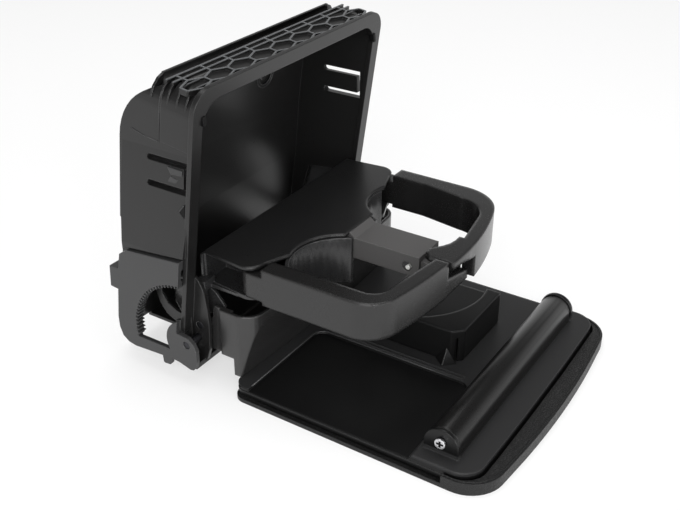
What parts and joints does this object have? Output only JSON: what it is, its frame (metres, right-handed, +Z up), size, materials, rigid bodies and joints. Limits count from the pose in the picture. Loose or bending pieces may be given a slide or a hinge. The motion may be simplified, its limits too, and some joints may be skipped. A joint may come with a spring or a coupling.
{
  "type": "car cup holder",
  "caption": "Fold-out double cup holder for a rear console: leaning box housing, drop-down door with grip bar, folding shelf with two sprung cup arms.",
  "frame": {"origin": "centre of the footprint of the open holder, level with the door's underside", "axes": "+X to the right seen from the front, +Y to the back of the housing, +Z up; the door opens toward -Y"},
  "size_m": [0.198, 0.263, 0.1915],
  "materials": {
    "housing_plastic": "satin",
    "plate_plastic": "satin",
    "door_plastic": "satin",
    "grained_skin": "leather-like grain",
    "bar_plastic": "satin",
    "shelf_plastic": "satin",
    "arm_plastic": "satin",
    "damper_plastic": "satin",
    "gear_nylon": "satin",
    "pin_steel": "brushed",
    "screw_steel": "zinc plated",
    "link_steel": "satin"
  },
  "bodies": {
    "housing": {"housing_shell": "housing_plastic", "left_gear_plate": "plate_plastic", "right_gear_plate": "plate_plastic", "door_hinge_pins": "pin_steel", "shelf_pivot_pins": "pin_steel"},
    "door": {"door_inner_panel": "door_plastic", "door_outer_skin": "grained_skin", "door_trough": "door_plastic", "cup_rest": "door_plastic", "grip_bar": "bar_plastic", "bar_screws": "screw_steel", "damper_body": "damper_plastic"},
    "damper_gear": {"damper_pinion": "gear_nylon"},
    "cup_shelf": {"shelf_plate": "shelf_plastic", "shelf_frame": "shelf_plastic", "cup_divider": "shelf_plastic", "arm_pins": "pin_steel"},
    "left_arm": {"left_cup_arm": "arm_plastic"},
    "right_arm": {"right_cup_arm": "arm_plastic"},
    "link": {"fold_link": "link_steel", "link_pins": "pin_steel"}
  },
  "joints": [
    {"name": "door_hinge", "type": "hinge", "parent": "housing", "child": "door", "pos_m": [0, 0.06979, 0.03], "axis": [-1, 0, 0], "range_deg": [0, 82]},
    {"name": "shelf_hinge", "type": "hinge", "parent": "housing", "child": "cup_shelf", "pos_m": [0, 0.06829, 0.0385], "axis": [-1, 0, 0], "range_deg": [0, 82]},
    {"name": "link_pivot", "type": "hinge", "parent": "door", "child": "link", "pos_m": [-0.079, 0.08579, 0.056], "axis": [-1, 0, 0], "range_deg": [-84, 2]},
    {"name": "pinion_spin", "type": "hinge", "parent": "door", "child": "damper_gear", "pos_m": [0.0967, 0.0768, 0.06373], "axis": [-1, 0, 0], "range_deg": [-760, 5]},
    {"name": "left_arm_pivot", "type": "hinge", "parent": "cup_shelf", "child": "left_arm", "pos_m": [-0.0735, 0.03779, 0.07], "axis": [0, 0, -1], "range_deg": [0, 1], "stiffness_Nm_per_rad": 0.6},
    {"name": "right_arm_pivot", "type": "hinge", "parent": "cup_shelf", "child": "right_arm", "pos_m": [0.0735, 0.03779, 0.07], "axis": [0, 0, 1], "range_deg": [0, 1], "stiffness_Nm_per_rad": 0.6}
  ],
  "couplings": [
    {"joint": "shelf_hinge", "follows": "door_hinge", "ratio": 1},
    {"joint": "link_pivot", "follows": "door_hinge", "ratio": -1},
    {"joint": "pinion_spin", "follows": "door_hinge", "ratio": -9.2},
    {"joint": "right_arm_pivot", "follows": "left_arm_pivot", "ratio": 1}
  ]
}
